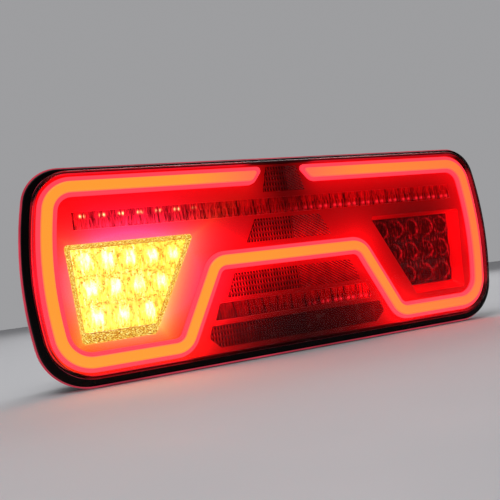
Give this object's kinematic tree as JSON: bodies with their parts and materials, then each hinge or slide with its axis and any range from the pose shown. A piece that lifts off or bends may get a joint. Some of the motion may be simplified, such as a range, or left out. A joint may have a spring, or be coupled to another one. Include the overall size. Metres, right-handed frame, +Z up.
{
  "type": "trailer tail light",
  "caption": "Wide low LED combination rear lamp with a winding light guide, stop and fog strips, indicator and reversing windows, fixed from behind by threaded studs.",
  "frame": {"origin": "on the mounting plane, midway between the two studs", "axes": "+X to the right seen from in front, +Y out of the back along the studs, +Z up; the lamp faces -Y"},
  "size_m": [0.4, 0.098, 0.15],
  "materials": {
    "housing_plastic": "spark-eroded matt black moulding",
    "seal_rubber": "matt",
    "clear_lens": "polished clear acrylic, edge-lit red",
    "gloss_black": "piano black",
    "red_bezel": "satin red moulding",
    "guide_clear": "frosted light guide, lit",
    "guide_red": "translucent red diffuser, lit",
    "clear_optic": "clear moulded optic",
    "amber_optic": "clear fluted optic, lit amber",
    "metallised": "vacuum metallised plastic",
    "reflex_red": "red prism plate",
    "led_body": "moulded package with phosphor window",
    "board_laminate": "white solder resist on glass laminate",
    "sheet_aluminium": "rolled sheet",
    "chip_black": "moulded epoxy",
    "zinc_steel": "bright zinc plate",
    "tinned_brass": "tinned",
    "membrane": "white breathable film"
  },
  "bodies": {
    "lamp": {"rear_housing": "housing_plastic", "lens_seal": "seal_rubber", "outer_lens": "clear_lens", "trim_frame": "gloss_black", "inner_bezel": "red_bezel", "light_guide": "guide_clear", "guide_diffuser": "guide_red", "stop_optic": "clear_optic", "stop_tray": "metallised", "stop_leds": "led_body", "fog_optic": "clear_optic", "fog_tray": "metallised", "fog_leds": "led_body", "reflex_top": "reflex_red", "reflex_upper": "reflex_red", "reflex_middle": "reflex_red", "reflex_lower": "reflex_red", "indicator_lens": "amber_optic", "indicator_reflector": "metallised", "indicator_board": "board_laminate", "indicator_leds": "led_body", "reverse_lens": "clear_optic", "reverse_reflector": "metallised", "reverse_board": "board_laminate", "reverse_leds": "led_body", "heat_plates": "sheet_aluminium", "main_board": "board_laminate", "tail_leds": "led_body", "driver_chips": "chip_black", "choke_coils": "chip_black", "capacitors": "sheet_aluminium", "board_screws": "zinc_steel", "bezel_screws": "zinc_steel", "inlet_socket": "housing_plastic", "inlet_contacts": "tinned_brass", "inlet_seal": "seal_rubber", "inlet_nut": "housing_plastic", "vent_plug": "housing_plastic", "vent_membrane": "membrane", "mounting_studs": "zinc_steel"},
    "left_washer": {"washer_left": "zinc_steel"},
    "left_nut": {"nut_left": "zinc_steel"},
    "right_washer": {"washer_right": "zinc_steel"},
    "right_nut": {"nut_right": "zinc_steel"}
  },
  "joints": [
    {"name": "left_washer_travel", "type": "slide", "parent": "lamp", "child": "left_washer", "axis": [0, 1, 0], "range_m": [-0.0165, 0]},
    {"name": "left_nut_turn", "type": "hinge", "parent": "left_washer", "child": "left_nut", "pos_m": [-0.076, 0.0243, 0], "axis": [0, 1, 0], "range_deg": [-4752, 0]},
    {"name": "right_washer_travel", "type": "slide", "parent": "lamp", "child": "right_washer", "axis": [0, 1, 0], "range_m": [-0.0165, 0]},
    {"name": "right_nut_turn", "type": "hinge", "parent": "right_washer", "child": "right_nut", "pos_m": [0.076, 0.0243, 0], "axis": [0, 1, 0], "range_deg": [-4752, 0]}
  ],
  "couplings": [
    {"joint": "left_nut_turn", "follows": "left_washer_travel", "rad_per_m": 5026.5},
    {"joint": "right_nut_turn", "follows": "right_washer_travel", "rad_per_m": 5026.5}
  ]
}
